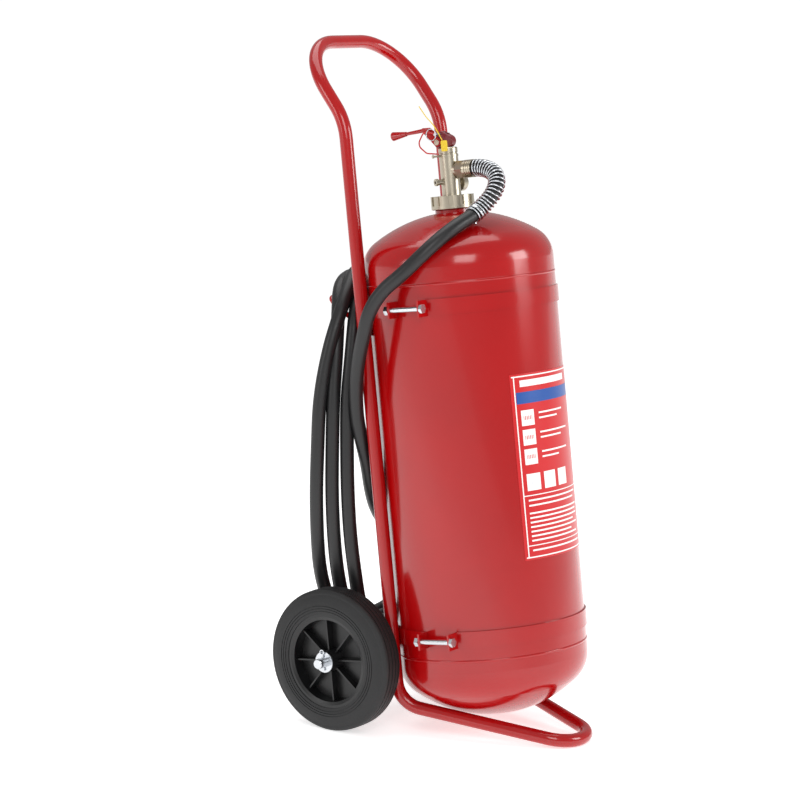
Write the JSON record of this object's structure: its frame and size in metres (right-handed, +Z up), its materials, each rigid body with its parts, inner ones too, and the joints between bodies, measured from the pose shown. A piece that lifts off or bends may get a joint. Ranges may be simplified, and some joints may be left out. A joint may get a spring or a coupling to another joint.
{
  "type": "wheeled fire extinguisher",
  "caption": "Upright steel bottle leaning on a tubular wheeled frame with a loop handle, valve with lever, and a long hose coiled behind.",
  "frame": {"origin": "middle of the footprint on the floor, under the middle of the object without its hose", "axes": "+Z up; the label, the hose outlet and the foot face -Y, the handle and the hose coil +Y; X runs along the axle"},
  "size_m": [0.434, 0.499, 1.08],
  "materials": {
    "black_plastic": "moulded",
    "dark_red_paint": "gloss paint",
    "dial": "printed",
    "glass": "clear",
    "hose_rubber": "smooth rubber",
    "label": "printed film",
    "nickel": "satin nickel plate",
    "red_paint": "gloss paint",
    "red_plastic": "moulded",
    "rim_plastic": "moulded",
    "tyre": "moulded rubber",
    "yellow_plastic": "moulded",
    "zinc": "bright zinc plate"
  },
  "bodies": {
    "frame": {"axle": "zinc", "axle_bracket_left": "red_paint", "axle_bracket_right": "red_paint", "axle_spacers": "zinc", "axle_washers": "zinc", "bend_spring": "zinc", "clamp_bolts": "zinc", "clamp_nuts": "zinc", "collar_nut": "nickel", "cylinder_shell": "red_paint", "dip_tube": "nickel", "foot_frame": "red_paint", "frame_spigots": "zinc", "gauge_case": "nickel", "gauge_dial": "dial", "gauge_glass": "glass", "handle_frame": "red_paint", "hose_coil": "hose_rubber", "hose_ferrule": "nickel", "hose_hanger": "red_paint", "hose_nozzle": "black_plastic", "hose_nut": "nickel", "hose_run": "hose_rubber", "hose_tail": "hose_rubber", "label": "label", "lever_head": "dark_red_paint", "lower_band": "red_paint", "lower_saddle": "red_paint", "neck_boss": "red_paint", "neck_gasket": "black_plastic", "pin_strap": "red_plastic", "split_pins": "zinc", "spring_end_band": "zinc", "stem_packing": "black_plastic", "strap_stud": "nickel", "tail_ferrule": "nickel", "upper_band": "red_paint", "upper_saddle": "red_paint", "valve_body": "nickel", "valve_cap": "nickel"},
    "left_wheel": {"left_wheel_rim": "rim_plastic", "left_wheel_tyre": "tyre", "left_wheel_bush": "black_plastic"},
    "right_wheel": {"right_wheel_rim": "rim_plastic", "right_wheel_tyre": "tyre", "right_wheel_bush": "black_plastic"},
    "lever": {"lever": "red_paint", "lever_pin": "nickel"},
    "stem": {"valve_stem": "nickel"},
    "safety_pin": {"safety_pin": "zinc", "tamper_seal": "yellow_plastic", "seal_tail": "yellow_plastic"},
    "pull_ring": {"pull_ring": "zinc"},
    "gauge_needle": {"gauge_needle": "zinc"}
  },
  "joints": [
    {"name": "left_wheel_spin", "type": "hinge", "parent": "frame", "child": "left_wheel", "pos_m": [-0.169, 0.1135, 0.113], "axis": [1, 0, 0], "continuous": true},
    {"name": "right_wheel_spin", "type": "hinge", "parent": "frame", "child": "right_wheel", "pos_m": [0.169, 0.1135, 0.113], "axis": [1, 0, 0], "continuous": true},
    {"name": "lever_lift", "type": "hinge", "parent": "frame", "child": "lever", "pos_m": [0, 0.05326, 0.92024], "axis": [1, 0, 0], "range_deg": [0, 30]},
    {"name": "stem_press", "type": "slide", "parent": "frame", "child": "stem", "axis": [0, 0.1392, 0.9903], "range_m": [-0.0031, 0]},
    {"name": "pin_pull", "type": "slide", "parent": "frame", "child": "safety_pin", "axis": [-1, 0, 0], "range_m": [0, 0.045]},
    {"name": "ring_swing", "type": "hinge", "parent": "safety_pin", "child": "pull_ring", "pos_m": [-0.0195, 0.04906, 0.93345], "axis": [0, 0.1392, 0.9903], "range_deg": [0, 80]},
    {"name": "gauge_turn", "type": "hinge", "parent": "frame", "child": "gauge_needle", "pos_m": [0.0227, 0.03134, 0.85768], "axis": [1, 0, 0], "range_deg": [-60, 60]}
  ],
  "couplings": [
    {"joint": "stem_press", "follows": "lever_lift", "m_per_rad": -0.0057}
  ]
}
